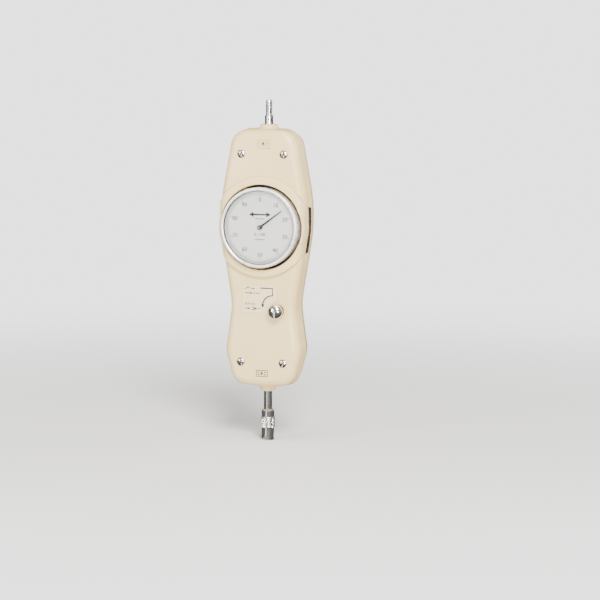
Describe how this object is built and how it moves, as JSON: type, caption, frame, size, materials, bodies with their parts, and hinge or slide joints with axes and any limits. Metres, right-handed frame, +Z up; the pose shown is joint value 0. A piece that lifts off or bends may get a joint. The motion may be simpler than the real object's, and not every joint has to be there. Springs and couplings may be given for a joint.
{
  "type": "force gauge",
  "caption": "Hand-held mechanical force gauge with a round rotating dial in a waisted casing, a sliding shaft with a threaded stud above and a notched pushing head below.",
  "frame": {"origin": "centre of the four mounting holes on the rear face", "axes": "+Z up along the measuring shaft, the dial faces -Y, +X is to the right of someone reading the dial"},
  "size_m": [0.067, 0.0416, 0.2462],
  "materials": {
    "casing": "satin ivory stove enamel on die-cast alloy",
    "screw_steel": "turned steel",
    "plate_print": "satin printed plate",
    "brass": "machined brass",
    "plated_steel": "zinc plated sheet",
    "spring_steel": "oil tempered wire",
    "bright_chrome": "polished plating",
    "black_paint": "matt black",
    "dark_plastic": "dark brown moulded",
    "dial_face": "matt white print on aluminium",
    "grey_paint": "satin grey",
    "crystal": "clear acrylic",
    "felt": "pressed felt"
  },
  "bodies": {
    "housing": {"front_shell": "casing", "rear_shell": "casing", "cover_screws": "screw_steel", "legend_plate": "plate_print", "upper_bushing": "brass", "lower_bushing": "brass", "stop_bracket": "plated_steel", "stop_screws": "screw_steel", "rear_plate": "brass", "front_plate": "brass", "plate_pillars": "brass", "plate_screws": "screw_steel", "hub_bushing": "brass", "hairspring": "spring_steel", "friction_spring": "spring_steel", "button_bushing": "bright_chrome", "lever_pin": "screw_steel"},
    "shaft": {"main_shaft": "bright_chrome", "notch_head": "bright_chrome", "spring_collar": "plated_steel", "main_spring": "spring_steel", "rack_bracket": "plated_steel", "rack": "brass", "clamp_screw": "screw_steel"},
    "train": {"train_arbor": "screw_steel", "train_wheel": "brass", "rack_pinion": "screw_steel"},
    "pointer": {"centre_arbor": "screw_steel", "centre_pinion": "screw_steel", "brake_disc": "brass", "pointer": "black_paint", "pointer_cap": "bright_chrome"},
    "dial": {"dial_carrier": "dark_plastic", "thumb_ring": "dark_plastic", "dial_plate": "dial_face", "lens_seat": "grey_paint", "lens": "crystal", "bezel_ring": "bright_chrome"},
    "button_slider": {"button_collar": "screw_steel"},
    "button": {"button_cap": "bright_chrome", "button_stem": "screw_steel", "button_spring": "spring_steel"},
    "brake": {"brake_lever": "plated_steel", "brake_shoe": "felt"}
  },
  "joints": [
    {"name": "shaft_slide", "type": "slide", "parent": "housing", "child": "shaft", "axis": [0, 0, 1], "range_m": [0, 0.01], "stiffness_N_per_m": 8000, "deforming": ["main_spring"]},
    {"name": "train_turn", "type": "hinge", "parent": "housing", "child": "train", "pos_m": [-0.01146, -0.028, 0.022], "axis": [0, 1, 0], "range_deg": [-180.01, 0]},
    {"name": "pointer_turn", "type": "hinge", "parent": "housing", "child": "pointer", "pos_m": [0, -0.03, 0.022], "axis": [0, 1, 0], "range_deg": [0, 360.01]},
    {"name": "dial_turn", "type": "hinge", "parent": "housing", "child": "dial", "pos_m": [0, -0.033, 0.022], "axis": [0, 1, 0], "continuous": true},
    {"name": "button_push", "type": "slide", "parent": "housing", "child": "button_slider", "axis": [0, 1, 0], "range_m": [0, 0.003], "stiffness_N_per_m": 600, "deforming": ["button_spring"]},
    {"name": "button_turn", "type": "hinge", "parent": "button_slider", "child": "button", "pos_m": [0.012, -0.033, -0.038], "axis": [0, 1, 0], "range_deg": [0, 90]},
    {"name": "brake_rock", "type": "hinge", "parent": "housing", "child": "brake", "pos_m": [0.009, -0.019, 0.024], "axis": [1, 0, 0], "range_deg": [0, 2.8]}
  ],
  "couplings": [
    {"joint": "train_turn", "follows": "shaft_slide", "rad_per_m": -314.16},
    {"joint": "pointer_turn", "follows": "shaft_slide", "rad_per_m": 628.32},
    {"joint": "brake_rock", "follows": "button_push", "rad_per_m": 16.129}
  ]
}
